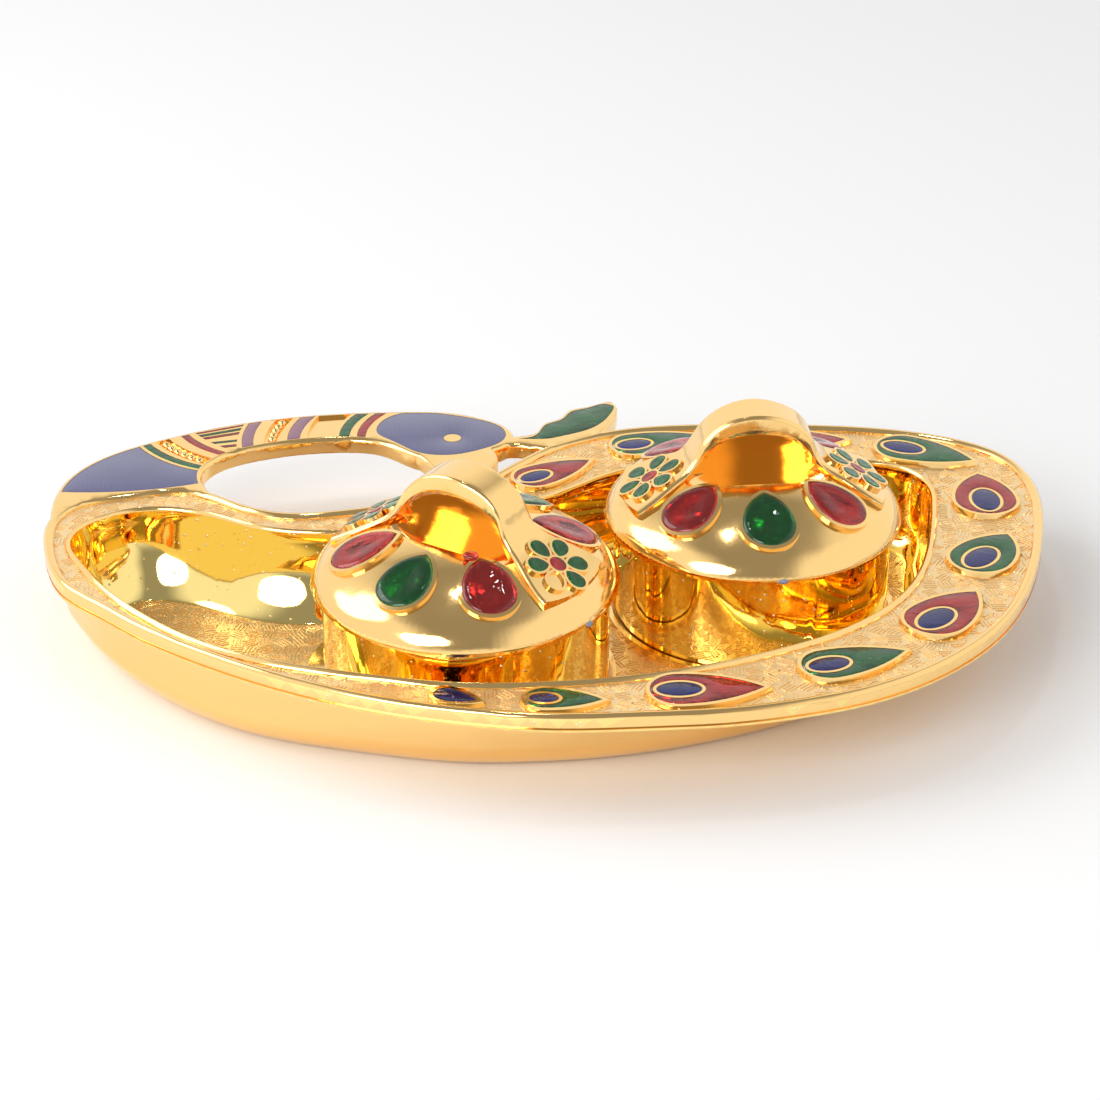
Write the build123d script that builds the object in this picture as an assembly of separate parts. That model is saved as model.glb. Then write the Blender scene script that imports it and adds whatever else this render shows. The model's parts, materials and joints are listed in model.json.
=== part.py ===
from build123d import *
from build123d.topology import SkipClean
import os
from itertools import repeat
from math import asin, cos, degrees, hypot, radians, sin, sqrt, tan

# Peacock kumkum box: a leaf-shaped tray whose rim carries feathers and a bird's neck,
# two round cups that stand in it, and on each cup a domed lid with an arched handle.
# Sizes in millimetres, angles in degrees, +Z up, origin on the table under the middle.

# Tray heights
FLOOR_THICKNESS = 1.8
RIM_HEIGHT = 15.0
BEAD_RISE = 0.8
FLANGE_THICKNESS = 1.8
NECK_THICKNESS = 2.6

# Tray walls and edges
RECESS_WALL = 1.8
WALL_DRAFT = 2.0
FLOOR_BEND = 3.1
UNDERSIDE_BEND = 5.0
BEND_POWER = 1.6
BEND_SECTIONS = (0.0, 0.01, 0.03, 0.07, 0.13, 0.21, 0.31, 0.44, 0.6, 0.8, 1.0)
RIM_BEAD = 1.5
RECESS_BEAD = 1.1
BEAD_CHAMFER = 0.46
EDGE_GROOVE_DEPTH = 0.35
EDGE_GROOVE_HEIGHT = 0.35
EDGE_GROOVE_DROP = 1.1
NECK_BORDER = 0.8

# Cups
CUP_RADIUS = 21.0
CUP_HEIGHT = 17.6
CUP_WALL = 1.4
CUP_FLOOR = 1.4
CUP_FOOT_FILLET = 1.2
CUP_INNER_FILLET = 3.0
CUP_LINE_ANGLE = 26.0
CUP_LINE_MIDDLE = (9.5, -7.0)
SEAT_CLEARANCE = 0.3
SEAT_RING_WIDTH = 0.8
SEAT_RING_HEIGHT = 1.2

# Lids
LID_LIP = 1.2
LID_GAP = 2.8
LID_OVERLAP = 1.6
LID_WALL = 1.4
LID_STEP = 0.35
LID_STEP_HEIGHT = 0.55
LID_EDGE_HEIGHT = 0.9
LID_EDGE_ROUND = 2.6
LID_EDGE_RISE = 4.2
LID_SHOULDER = 1.9
DOME_RISE = 5.3
LEFT_LID_TURN = -32.0
RIGHT_LID_TURN = 5.0

# Lid handle
HANDLE_RISE = 18.2
STRAP_WIDTH = 7.0
STRAP_THICKNESS = 2.2
STRAP_ROUND = 0.6
FOOT_WIDTH = 16.0
FOOT_FLARE = 1.0
FOOT_START_SETBACK = 10.5
FOOT_END_SETBACK = 1.7
FOOT_START_RISE = 1.3
FOOT_END_RISE = 0.5
SHOULDER_REACH = 8.0
SHOULDER_DROP = 3.8
WEB_THICKNESS = 4.4
SCOOP_LENGTH = 23.0
SCOOP_WIDTH = 5.8
SCOOP_HEIGHT = 12.4
SCOOP_OFFSET = 4.2
SCOOP_RISE = 1.0
SCOOP_WALL = 1.1

# Enamel cells
CELL_RISE = 0.8
CELL_BORDER = 0.55
CELL_DRAFT = 0.25
ENAMEL_DEPTH = 0.6
ENAMEL_DIP = 0.08
EYE_RING = 0.5
EYE_LENGTH = 0.78
EYE_WIDTH = 0.46
PEARL_RADIUS = 0.75
HEAD_EYE_RADIUS = 1.4

# Teardrops and flowers on the lids
DROP_RADIUS = 3.9
DROP_LENGTH = 10.4
DROP_BORDER = 0.6
DROP_RISE = 0.7
DROP_SETBACK = 7.9
DROP_SPREAD = 46.0
DROP_CUT = 2.0
FLOWER_SETBACK = 6.9
PETAL_COUNT = 6
PETAL_RADIUS = 1.3
PETAL_REACH = 3.7
PETAL_BORDER = 0.4
PETAL_GAP = 0.3
PETAL_RISE = 0.5
PETAL_DEPTH = 0.4
HEART_RADIUS = 1.3
EMPTY_PETAL = 5

# The empty round end of the recess, on the left
PALM_CENTRE = (-57.0, -3.0)
PALM_RADIUS = 10.0

# Rim stations, counterclockwise from the near side of the right cup. Each one is the circle
# that it is measured from, a direction, the gap from that circle to the edge of the recess,
# the width of the flange outside it, and the height of the bend from the wall into the floor.
RIM_STATIONS = [
    ("right", -80, 11.0, 16.3, 3.4),
    ("right", -60, 7.6, 16.9, 3.4),
    ("right", -38, 5.2, 16.8, 3.4),
    ("right", -15, 4.0, 16.8, 3.4),
    ("right", 5, 5.0, 17.7, 3.4),
    ("right", 20, 7.8, 18.3, 3.4),
    ("right", 33, 11.0, 16.8, 3.4),
    ("right", 46, 10.4, 14.7, 3.4),
    ("right", 62, 5.6, 14.7, 3.4),
    ("right", 90, 3.6, 12.7, 3.4),
    ("right", 115, 4.4, 14.3, 3.4),
    ("right", 135, 6.8, 14.2, 3.4),
    ("right", 152, 9.0, 13.1, 3.4),
    ("left", 92, 3.6, 11.1, 3.4),
    ("left", 108, 1.8, 9.3, 4.5),
    ("left", 124, 3.6, 8.9, 7.0),
    ("palm", 42, 4.1, 6.5, 10.0),
    ("palm", 65, 3.5, 5.8, 11.0),
    ("palm", 90, 4.3, 7.9, 11.0),
    ("palm", 112, 5.6, 6.6, 11.0),
    ("palm", 135, 6.3, 7.6, 11.0),
    ("palm", 150, 6.6, 6.1, 11.0),
    ("palm", 168, 5.4, 4.5, 11.0),
    ("palm", 190, 3.0, 5.0, 11.0),
    ("palm", 215, 2.4, 5.3, 11.0),
    ("palm", 242, 4.1, 4.2, 11.0),
    ("palm", 265, 8.4, 4.3, 11.0),
    ("left", -166, 18.8, 3.7, 9.0),
    ("left", -150, 10.9, 4.1, 6.0),
    ("left", -130, 4.1, 6.0, 4.0),
    ("left", -110, 1.4, 7.0, 3.4),
    ("left", -90, 1.2, 8.0, 3.4),
    ("left", -70, 2.7, 10.3, 3.4),
    ("left", -50, 7.0, 13.2, 3.4),
    ("right", -98, 16.2, 14.8, 3.4),
]

# Outline of the neck and head, from the outer edge of the tray round to the hole
NECK_OUTLINE = [
    (-73.5, 1.0), (-76.2, 7.0), (-76.9, 13.0), (-76.6, 19.0), (-74.2, 25.6), (-70.2, 30.7), (-62.8, 36.2),
    (-53.6, 41.1), (-44.0, 44.4), (-34.3, 46.2), (-24.4, 46.9), (-16.0, 46.4), (-10.0, 43.8),
    (-6.0, 39.6), (-6.3, 34.8), (-10.5, 31.4), (-15.5, 29.5), (-20.5, 29.9), (-24.0, 32.8),
    (-28.0, 35.7), (-33.0, 36.4), (-40.0, 35.6), (-47.0, 33.2), (-52.5, 29.4), (-54.7, 24.5),
    (-53.6, 19.0), (-50.5, 14.8), (-46.0, 12.0),
]
BEAK_OUTLINE = [
    (-22.4, 33.6), (-19.9, 28.9), (-17.8, 24.6), (-18.0, 14.0), (-6.5, 20.0), (-9.2, 25.0),
    (-8.0, 29.0), (-9.4, 33.5), (-15.0, 36.0),
]
CREST_OUTLINE = [
    (-8.6, 36.6), (-4.6, 37.6), (-2.1, 39.0), (-0.9, 42.2), (1.6, 44.2), (3.3, 47.4), (6.2, 48.8),
    (8.8, 50.4), (10.6, 50.8), (11.3, 49.3), (11.2, 46.0), (10.2, 42.4), (9.0, 39.4), (6.6, 36.4),
    (3.5, 34.2), (0.4, 33.2), (-3.0, 34.0), (-6.0, 34.4), (-8.6, 34.9),
]
CREST_CELL = [
    (-4.4, 36.5), (-1.6, 38.4), (-0.3, 41.7), (2.2, 43.6), (3.9, 46.7), (6.6, 48.1), (9.2, 49.6),
    (10.5, 49.2), (10.4, 46.2), (9.0, 42.8), (7.0, 40.2), (4.0, 38.2), (1.2, 36.8), (-1.6, 36.2),
]
HEAD_CELL = [
    (-24.0, 46.0), (-27.6, 42.0), (-27.7, 38.4), (-24.9, 35.3), (-20.6, 31.2), (-15.5, 30.4),
    (-10.8, 32.4), (-7.2, 36.0), (-7.4, 40.2), (-11.4, 43.6), (-17.0, 45.7),
]
HEAD_EYE = (-15.5, 36.6)

# Neck bands: far end, middle and near end of the centre line, and width
NECK_BANDS = {
    "neck_green_band": ((-66.0, 36.4), (-60.8, 29.4), (-52.6, 25.0), 1.4),
    "neck_red_band": ((-60.2, 40.6), (-55.9, 33.6), (-49.8, 29.8), 1.4),
    "neck_violet_band": ((-47.0, 45.0), (-48.6, 38.2), (-47.8, 31.0), 1.9),
    "throat_violet_band": ((-37.6, 47.6), (-40.8, 40.7), (-41.0, 34.0), 2.1),
    "throat_green_band": ((-28.2, 48.6), (-32.4, 41.9), (-32.9, 35.0), 1.8),
    "throat_red_band": ((-25.2, 48.4), (-29.6, 41.9), (-30.1, 35.0), 1.5),
}
BASE_EDGE = ((-78.5, 17.4), (-66.5, 17.3), (-52.0, 21.4))
BASE_FAR_EDGE = ((-67.4, 36.8), (-61.5, 28.3), (-53.0, 24.0))
BASE_OUTSIDE = (-84.0, 33.0)

# Stripes between the red and violet bands: colour, both ends of the centre line, and width
NECK_STRIPES = [
    ("red", (-60.0, 36.9), (-46.0, 43.0), 0.6),
    ("green", (-60.0, 35.8), (-46.0, 41.6), 0.9),
    ("red", (-60.0, 34.7), (-46.0, 40.0), 0.9),
    ("green", (-60.0, 33.2), (-46.0, 36.7), 0.8),
    ("red", (-60.0, 31.3), (-46.0, 35.0), 0.9),
]
STRIPE_EDGES = [
    ((-58.8, 41.0), (-54.4, 34.9), (-49.6, 31.4)),
    ((-48.8, 45.0), (-50.2, 38.2), (-49.8, 31.0)),
]

# Sunk gold bands that hold rows of pearls: far end, middle, near end, width, number of pearls
PEARL_BANDS = [
    ((-63.8, 38.6), (-58.9, 31.4), (-51.4, 26.8), 2.4, 6),
    ((-42.2, 46.0), (-44.5, 38.8), (-44.6, 33.0), 2.4, 5),
]
GOLD_PANEL = ((-33.6, 48.0), (-36.4, 41.4), (-36.6, 34.6), 4.6)
BAND_DEPTH = 0.5
PEARL_START = 0.27

PLAIN_FEATHERS = ("feather_01_blue",)

# Feathers on the flange: name, the circle that it is measured from, direction and distance of
# its round end's centre, round end's radius, and direction and length to its tip
FEATHERS = [
    ("feather_01_blue", "left", -94.6, 4.9, 1.7, -21, 4.8),
    ("feather_02_green", "left", -68.0, 8.1, 2.65, -3, 8.1),
    ("feather_03_red", "left", -40.7, 17.3, 4.1, 3, 11.9),
    ("feather_04_green", "right", -78.0, 18.4, 3.9, 19, 11.7),
    ("feather_05_red", "right", -47.0, 14.2, 4.6, 50, 10.5),
    ("feather_06_green", "right", -13.4, 12.3, 4.6, 56, 9.0),
    ("feather_07_red", "right", 16.6, 16.2, 4.7, 91, 9.0),
    ("feather_08_green", "right", 48.7, 17.1, 4.2, -24, 11.5),
    ("feather_09_red", "right", 80.0, 10.3, 3.8, 2, 11.4),
    ("feather_10_green", "right", 119.0, 12.8, 3.6, 17, 11.5),
    ("feather_11_red", "right", 149.7, 15.7, 3.4, 34, 10.4),
]

LID_RADIUS = CUP_RADIUS + SEAT_CLEARANCE + LID_LIP
CUP_SPACING = 2 * LID_RADIUS + LID_GAP
FOOT_START = LID_RADIUS - FOOT_START_SETBACK
FOOT_END = LID_RADIUS - FOOT_END_SETBACK
DROP_PLACE = LID_RADIUS - DROP_SETBACK
FLOWER_PLACE = LID_RADIUS - FLOWER_SETBACK
FLANGE_TOP = RIM_HEIGHT - BEAD_RISE
LIP_HEIGHT = FLOOR_THICKNESS + CUP_HEIGHT - LID_OVERLAP
LEVEL_TOLERANCE = 0.01
GROUNDED = (Align.CENTER, Align.CENTER, Align.MIN)


def polar(centre, radius, angle):
    return (centre[0] + radius * cos(radians(angle)), centre[1] + radius * sin(radians(angle)))


LEFT_CUP = polar(CUP_LINE_MIDDLE, -CUP_SPACING / 2, CUP_LINE_ANGLE)
RIGHT_CUP = polar(CUP_LINE_MIDDLE, CUP_SPACING / 2, CUP_LINE_ANGLE)
CIRCLES = {
    "left": (LEFT_CUP, LID_RADIUS),
    "right": (RIGHT_CUP, LID_RADIUS),
    "palm": (PALM_CENTRE, PALM_RADIUS),
}


def from_circle(name, angle, distance):
    centre, radius = CIRCLES[name]
    return polar(centre, radius + distance, angle)


def smooth_face(points):
    return make_face(Spline(*points, periodic=True))


def moved_out(points, distances):
    # Each point of a closed outline, moved square to the line through its neighbours, outwards
    # where the outline runs counterclockwise
    moved = []
    for index, ((x, y), distance) in enumerate(zip(points, distances)):
        before = points[index - 1]
        after = points[(index + 1) % len(points)]
        along = (after[0] - before[0], after[1] - before[1])
        length = hypot(*along)
        moved.append((x + along[1] / length * distance, y - along[0] / length * distance))
    return moved


def recess_edge():
    return [from_circle(name, angle, gap) for name, angle, gap, *_ in RIM_STATIONS]


def recess_face(outset=0.0):
    return smooth_face(moved_out(recess_edge(), repeat(outset)))


def body_face(inset=0.0):
    edge = [from_circle(name, angle, gap + flange) for name, angle, gap, flange, _ in RIM_STATIONS]
    return smooth_face(moved_out(edge, repeat(-inset)))


def raised(face, bottom, top):
    return extrude(Pos(0, 0, bottom) * face, top - bottom)


def top_edges(solid, height):
    return [edge for edge in solid.edges() if abs(edge.center().Z - height) < LEVEL_TOLERANCE]


def drop_face(radius, reach, inset=0.0):
    # Teardrop with its round end about the origin and its tip on +X. Each side is an arc that
    # runs tangent from the round end to the tip, so an inset one is a true parallel outline.
    side = (reach**2 + radius**2) / (2 * radius)
    tip = sqrt((side - inset) ** 2 - (side - radius) ** 2)
    half = radius - inset
    return make_face([
        ThreePointArc((0, half), (-half, 0), (0, -half)),
        TangentArc((0, -half), (tip, 0), tangent=(1, 0)),
        TangentArc((0, half), (tip, 0), tangent=(1, 0)),
    ])


def band_face(far, middle, near, width):
    length = hypot(near[0] - far[0], near[1] - far[1])
    across = ((far[1] - near[1]) / length * width / 2, (near[0] - far[0]) / length * width / 2)
    left = [(x + across[0], y + across[1]) for x, y in (far, middle, near)]
    right = [(x - across[0], y - across[1]) for x, y in (far, middle, near)]
    return make_face([
        ThreePointArc(*left), Line(left[2], right[2]), ThreePointArc(*right), Line(right[0], left[0]),
    ])


def stripe_face(start, end, width):
    middle = ((start[0] + end[0]) / 2, (start[1] + end[1]) / 2)
    length = hypot(end[0] - start[0], end[1] - start[1])
    turn = degrees(asin((end[1] - start[1]) / length))
    return Pos(*middle) * Rot(0, 0, turn) * Rectangle(length, width)


def place(point):
    return Pos(point[0], point[1])


def neck_plan(inset=0.0):
    # The outline runs clockwise, so a positive distance moves it inwards
    edge = moved_out(NECK_OUTLINE, repeat(inset))
    return make_face([Spline(*edge), Line(edge[-1], edge[0])])


def neck_cells():
    inside = neck_plan(NECK_BORDER)
    cells = {name: band_face(*line) & inside for name, line in NECK_BANDS.items()}
    base = make_face([
        ThreePointArc(*BASE_EDGE), Line(BASE_EDGE[2], BASE_FAR_EDGE[2]), ThreePointArc(*BASE_FAR_EDGE),
        Line(BASE_FAR_EDGE[0], BASE_OUTSIDE), Line(BASE_OUTSIDE, BASE_EDGE[0]),
    ])
    cells["neck_base_blue"] = base & inside
    left, right = STRIPE_EDGES
    panel = make_face([
        ThreePointArc(*left), Line(left[2], right[2]), ThreePointArc(*right), Line(right[0], left[0]),
    ])
    for colour in ("red", "green"):
        lines = [line for hue, *line in NECK_STRIPES if hue == colour]
        cells[f"neck_{colour}_stripes"] = Sketch() + [stripe_face(*line) & panel & inside for line in lines]
    cells["head_blue"] = (smooth_face(HEAD_CELL) & inside) - place(HEAD_EYE) * Circle(HEAD_EYE_RADIUS)
    cells["crest_green"] = smooth_face(CREST_CELL)
    return cells


def feather_places():
    for name, circle, angle, distance, radius, turn, reach in FEATHERS:
        yield name, place(from_circle(circle, angle, distance)) * Rot(0, 0, turn), radius, reach


def eye_face(radius, ring=0.0):
    return Ellipse(radius * EYE_LENGTH + ring, radius * EYE_WIDTH + ring)


def bowl_shape(outset, bottom, top, reach, bends):
    # Drafted wall that turns into the flat bottom through a bend of one reach and varied height
    sections = []
    for share in BEND_SECTIONS:
        height = share * max(bends)
        outsets = []
        for bend in bends:
            draft = (top - bottom - max(height, bend)) * tan(radians(WALL_DRAFT))
            below = max(1 - height / bend, 0)
            turn = 1 - (1 - below**BEND_POWER) ** (1 / BEND_POWER)
            outsets.append(outset - draft - reach * turn)
        sections.append(Pos(0, 0, bottom + height) * smooth_face(moved_out(recess_edge(), outsets)))
    sections.append(Pos(0, 0, top) * recess_face(outset))
    return loft(sections, ruled=True)


def tray_shell():
    bottom = FLANGE_TOP - FLANGE_THICKNESS
    bird = [neck_plan(), smooth_face(BEAK_OUTLINE), smooth_face(CREST_OUTLINE)]
    with SkipClean():
        shell = raised(body_face(), bottom, RIM_HEIGHT)
        shell += [raised(face, RIM_HEIGHT - NECK_THICKNESS, RIM_HEIGHT) for face in bird]
        channel = body_face(RIM_BEAD) - recess_face(RECESS_BEAD)
        shell -= raised(channel, FLANGE_TOP, RIM_HEIGHT + BEAD_RISE)
        groove = body_face(-RIM_BEAD) - body_face(EDGE_GROOVE_DEPTH) - bird
        groove_top = FLANGE_TOP - EDGE_GROOVE_DROP
        shell -= raised(groove, groove_top - EDGE_GROOVE_HEIGHT, groove_top)
        under = [UNDERSIDE_BEND] * len(RIM_STATIONS)
        shell += bowl_shape(RECESS_WALL, 0, FLANGE_TOP - FLANGE_THICKNESS / 2, UNDERSIDE_BEND, under)
        inner = [bend for *_, bend in RIM_STATIONS]
        shell -= bowl_shape(0, FLOOR_THICKNESS, RIM_HEIGHT + BEAD_RISE, FLOOR_BEND, inner)
    shell = shell.clean()
    return chamfer(top_edges(shell, RIM_HEIGHT), BEAD_CHAMFER)


def seat_rings():
    inside = CUP_RADIUS + SEAT_CLEARANCE
    ring = Circle(inside + SEAT_RING_WIDTH) - Circle(inside)
    bottom = FLOOR_THICKNESS / 2
    return [raised(place(cup) * ring, bottom, FLOOR_THICKNESS + SEAT_RING_HEIGHT)
            for cup in (LEFT_CUP, RIGHT_CUP)]


def pearls():
    for far, middle, near, _, count in PEARL_BANDS:
        line = ThreePointArc(far, middle, near)
        for index in range(count):
            spot = line @ (PEARL_START + (1 - 2 * PEARL_START) * index / (count - 1))
            yield Pos(spot.X, spot.Y, RIM_HEIGHT - BAND_DEPTH) * Sphere(PEARL_RADIUS)


def feather_walls():
    for _, spot, radius, reach in feather_places():
        foot = spot * drop_face(radius, reach, -CELL_BORDER - CELL_DRAFT)
        crown = spot * drop_face(radius, reach, -CELL_BORDER)
        yield loft([Pos(0, 0, FLANGE_TOP) * foot, Pos(0, 0, FLANGE_TOP + CELL_RISE) * crown], ruled=True)


def feather_enamel():
    fills = {}
    for name, spot, radius, reach in feather_places():
        if name in PLAIN_FEATHERS:
            fills[name] = spot * drop_face(radius, reach)
            continue
        fills[name] = spot * (drop_face(radius, reach) - eye_face(radius, EYE_RING))
        fills[name + "_eye"] = spot * eye_face(radius)
    return fills


def poured(face, top):
    return raised(face, top - ENAMEL_DEPTH, top - ENAMEL_DIP)


def tray():
    cells = [raised(face, RIM_HEIGHT - ENAMEL_DEPTH, RIM_HEIGHT + CELL_RISE)
             for face in neck_cells().values()]
    feather_top = FLANGE_TOP + CELL_RISE
    cells += [raised(face, feather_top - ENAMEL_DEPTH, feather_top + CELL_RISE)
              for face in feather_enamel().values()]
    inside = neck_plan(NECK_BORDER)
    sunk = [band_face(*band[:4]) & inside for band in PEARL_BANDS + [GOLD_PANEL]]
    cells += [raised(face, RIM_HEIGHT - BAND_DEPTH, RIM_HEIGHT + CELL_RISE) for face in sunk]
    with SkipClean():
        body = tray_shell() + list(feather_walls()) + seat_rings()
        body -= cells
        body += list(pearls())
    return body.clean()


def cup():
    outside = Cylinder(CUP_RADIUS, CUP_HEIGHT, align=GROUNDED)
    outside = fillet(top_edges(outside, 0), CUP_FOOT_FILLET)
    inside = Pos(0, 0, CUP_FLOOR) * Cylinder(CUP_RADIUS - CUP_WALL, CUP_HEIGHT, align=GROUNDED)
    inside = fillet(top_edges(inside, CUP_FLOOR), CUP_INNER_FILLET)
    return outside - inside


DOME_EDGE = LID_RADIUS - LID_EDGE_ROUND
DOME_RADIUS = (DOME_EDGE**2 + DOME_RISE**2) / (2 * DOME_RISE)
DOME_CENTRE = LID_EDGE_RISE + DOME_RISE - DOME_RADIUS


def dome_height(reach):
    return DOME_CENTRE + sqrt(DOME_RADIUS**2 - reach**2)


def dome_ball(outset=0.0):
    return Pos(0, 0, DOME_CENTRE) * Sphere(DOME_RADIUS + outset)


def turned(lines):
    return revolve(Plane.XZ * make_face(lines), Axis.Z)


def lid_outside():
    slope = DOME_EDGE / (DOME_RADIUS**2 - DOME_EDGE**2) ** 0.5
    edge = (DOME_EDGE, LID_EDGE_RISE)
    crown = (0, LID_EDGE_RISE + DOME_RISE)
    middle = (DOME_EDGE / 2, dome_height(DOME_EDGE / 2))
    side = (LID_RADIUS, LID_EDGE_HEIGHT)
    return turned([
        ThreePointArc(crown, middle, edge), TangentArc(edge, side, tangent=(1, -slope)),
        Polyline(side, (LID_RADIUS, LID_STEP_HEIGHT),
                 (LID_RADIUS - LID_STEP, LID_STEP_HEIGHT - LID_STEP / 2),
                 (LID_RADIUS - LID_STEP, 0), (0, 0), crown),
    ])


def lid_inside():
    mouth = Cylinder(CUP_RADIUS + SEAT_CLEARANCE, LID_OVERLAP, align=GROUNDED)
    room = Cylinder(CUP_RADIUS - LID_SHOULDER, DOME_RADIUS, align=GROUNDED)
    return mouth + (room & dome_ball(-LID_WALL))


def scoops(growth=0.0):
    length, width, height = SCOOP_LENGTH / 2, SCOOP_WIDTH / 2, SCOOP_HEIGHT / 2
    shape = scale(Sphere(1), (length + growth, width + growth, height + growth))
    middle = dome_height(SCOOP_OFFSET) + SCOOP_RISE
    return [Pos(0, side * SCOOP_OFFSET, middle) * shape for side in (-1, 1)]


def strap_line():
    start = (FOOT_START, dome_height(FOOT_START) + FOOT_START_RISE)
    end = (FOOT_END, dome_height(FOOT_END) + FOOT_END_RISE)
    return start, end


def strap_profile(drop):
    start, end = strap_line()
    slope = (end[1] - start[1]) / (end[0] - start[0])
    low = min(end[1] - STRAP_THICKNESS, LID_EDGE_HEIGHT)
    start, end = (start[0], start[1] - drop), (end[0], end[1] - drop)
    shoulder = (SHOULDER_REACH, HANDLE_RISE - SHOULDER_DROP - drop)
    far_start, far_end, far_shoulder = [(-x, z) for x, z in (start, end, shoulder)]
    arch = Spline(far_start, far_shoulder, (0, HANDLE_RISE - drop), shoulder, start,
                  tangents=[(1, -slope), (1, slope)])
    close = Polyline(start, end, (LID_RADIUS, low), (-LID_RADIUS, low), far_end, far_start)
    return Plane.XZ * make_face([arch, close])


def strap():
    half, foot = STRAP_WIDTH / 2, FOOT_WIDTH / 2
    flare = [(SHOULDER_REACH, half), (FOOT_START - FOOT_FLARE, half + FOOT_FLARE),
             (FLOWER_PLACE, foot - FOOT_FLARE), (FOOT_END - FOOT_FLARE, foot), (LID_RADIUS, foot)]
    line = [(-x, y) for x, y in reversed(flare)] + [(0, half)] + flare
    far, near = Spline(*line), Spline(*[(x, -y) for x, y in line])
    ends = [Line(far @ end, near @ end) for end in (0, 1)]
    plan = make_face([far, near, *ends]) & Circle(DOME_EDGE)
    over = extrude(strap_profile(0), LID_RADIUS, both=True)
    under = extrude(strap_profile(STRAP_THICKNESS), LID_RADIUS, both=True)
    solid = over & extrude(plan, 2 * HANDLE_RISE)
    sides = [edge for edge in solid.edges() if edge.geom_type == GeomType.BSPLINE
             and abs((edge @ 0.5).Y) > LEVEL_TOLERANCE and (edge @ 0.5).Z > LID_EDGE_RISE]
    return fillet(sides, STRAP_ROUND) - under


def web():
    return extrude(strap_profile(STRAP_THICKNESS / 2), WEB_THICKNESS / 2, both=True)


def drop_planes():
    tilt = asin(DROP_PLACE / DOME_RADIUS)
    for side in (-90, 90):
        for step in (-DROP_SPREAD, 0, DROP_SPREAD):
            turn = radians(side + step)
            normal = (sin(tilt) * cos(turn), sin(tilt) * sin(turn), cos(tilt))
            inward = (-cos(tilt) * cos(turn), -cos(tilt) * sin(turn), sin(tilt))
            spot = (DROP_PLACE * cos(turn), DROP_PLACE * sin(turn), dome_height(DROP_PLACE))
            yield "green" if step == 0 else "red", Plane(spot, inward, normal)


def drop_block(plane, inset, low, high):
    shift = Pos(DROP_RADIUS - DROP_LENGTH / 2, 0, low)
    return extrude(plane * (shift * drop_face(DROP_RADIUS, DROP_LENGTH - DROP_RADIUS, inset)), high - low)


def flower_planes():
    start, end = strap_line()
    share = (FLOWER_PLACE - start[0]) / (end[0] - start[0])
    height = start[1] + share * (end[1] - start[1])
    along = (end[0] - start[0], 0, end[1] - start[1])
    for side in (1, -1):
        outward = (side * along[0], 0, along[2])
        normal = (side * -along[2], 0, along[0])
        yield Plane((side * FLOWER_PLACE, 0, height), outward, normal)


def petal_faces(inset=0.0):
    reach = PETAL_REACH - HEART_RADIUS - PETAL_GAP
    return [Rot(0, 0, 360 * index / PETAL_COUNT) * Pos(PETAL_REACH, 0) * Rot(0, 0, 180)
            * drop_face(PETAL_RADIUS, reach, inset) for index in range(PETAL_COUNT)]


def on_plane(plane, face, low, high):
    return extrude(plane * (Pos(0, 0, low) * face), high - low)


def lid():
    deep, tall = -DROP_CUT / 2, DROP_CUT
    planes = list(drop_planes())
    with SkipClean():
        shell = lid_outside() - lid_inside()
        shell += [scoop & lid_outside() for scoop in scoops(SCOOP_WALL)]
        shell += web() - lid_inside()
        shell -= scoops()
        shell += strap() - lid_inside()
        ball = dome_ball(DROP_RISE)
        shell += [drop_block(plane, -DROP_BORDER, deep, tall) & ball for _, plane in planes]
        floor = dome_ball(DROP_RISE - ENAMEL_DEPTH)
        shell -= [drop_block(plane, 0, deep, tall) - floor for _, plane in planes]
        for plane in flower_planes():
            plate = [on_plane(plane, face, deep / 2, PETAL_RISE) for face in petal_faces(-PETAL_BORDER)]
            plate.append(on_plane(plane, Circle(HEART_RADIUS + PETAL_BORDER), deep / 2, PETAL_RISE))
            shell += plate
            holes = petal_faces() + [Circle(HEART_RADIUS)]
            shell -= [on_plane(plane, face, PETAL_RISE - PETAL_DEPTH, tall) for face in holes]
    return shell.clean()


def lid_enamel(empty):
    fills = {}
    top = dome_ball(DROP_RISE - ENAMEL_DIP)
    floor = dome_ball(DROP_RISE - ENAMEL_DEPTH)
    for index, (colour, plane) in enumerate(drop_planes()):
        block = drop_block(plane, 0, -DROP_CUT / 2, DROP_CUT)
        fills[f"drop_{index + 1}_{colour}"] = (block & top) - floor
    for name, plane, gap in zip(("first", "second"), flower_planes(), (empty, None)):
        filled = [face for index, face in enumerate(petal_faces()) if index != gap]
        low, high = PETAL_RISE - PETAL_DEPTH, PETAL_RISE - ENAMEL_DIP
        fills[f"{name}_flower_petals"] = Compound([on_plane(plane, face, low, high) for face in filled])
        fills[f"{name}_flower_heart"] = on_plane(plane, Circle(HEART_RADIUS), low, high)
    return fills


def assembly():
    pieces = {"tray": tray()}
    for name, face in neck_cells().items():
        pieces[name] = poured(face, RIM_HEIGHT)
    for name, face in feather_enamel().items():
        pieces[name] = poured(face, FLANGE_TOP + CELL_RISE)
    cup_shape, lid_shape = cup(), lid()
    for side, spot, turn, empty in (("left", LEFT_CUP, LEFT_LID_TURN, EMPTY_PETAL),
                                    ("right", RIGHT_CUP, RIGHT_LID_TURN, None)):
        pieces[f"{side}_cup"] = Pos(*spot, FLOOR_THICKNESS) * cup_shape
        seat = Pos(*spot, LIP_HEIGHT) * Rot(0, 0, turn)
        pieces[f"{side}_lid"] = seat * lid_shape
        for name, fill in lid_enamel(empty).items():
            pieces[f"{side}_lid_{name}"] = seat * fill
    return pieces


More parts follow.
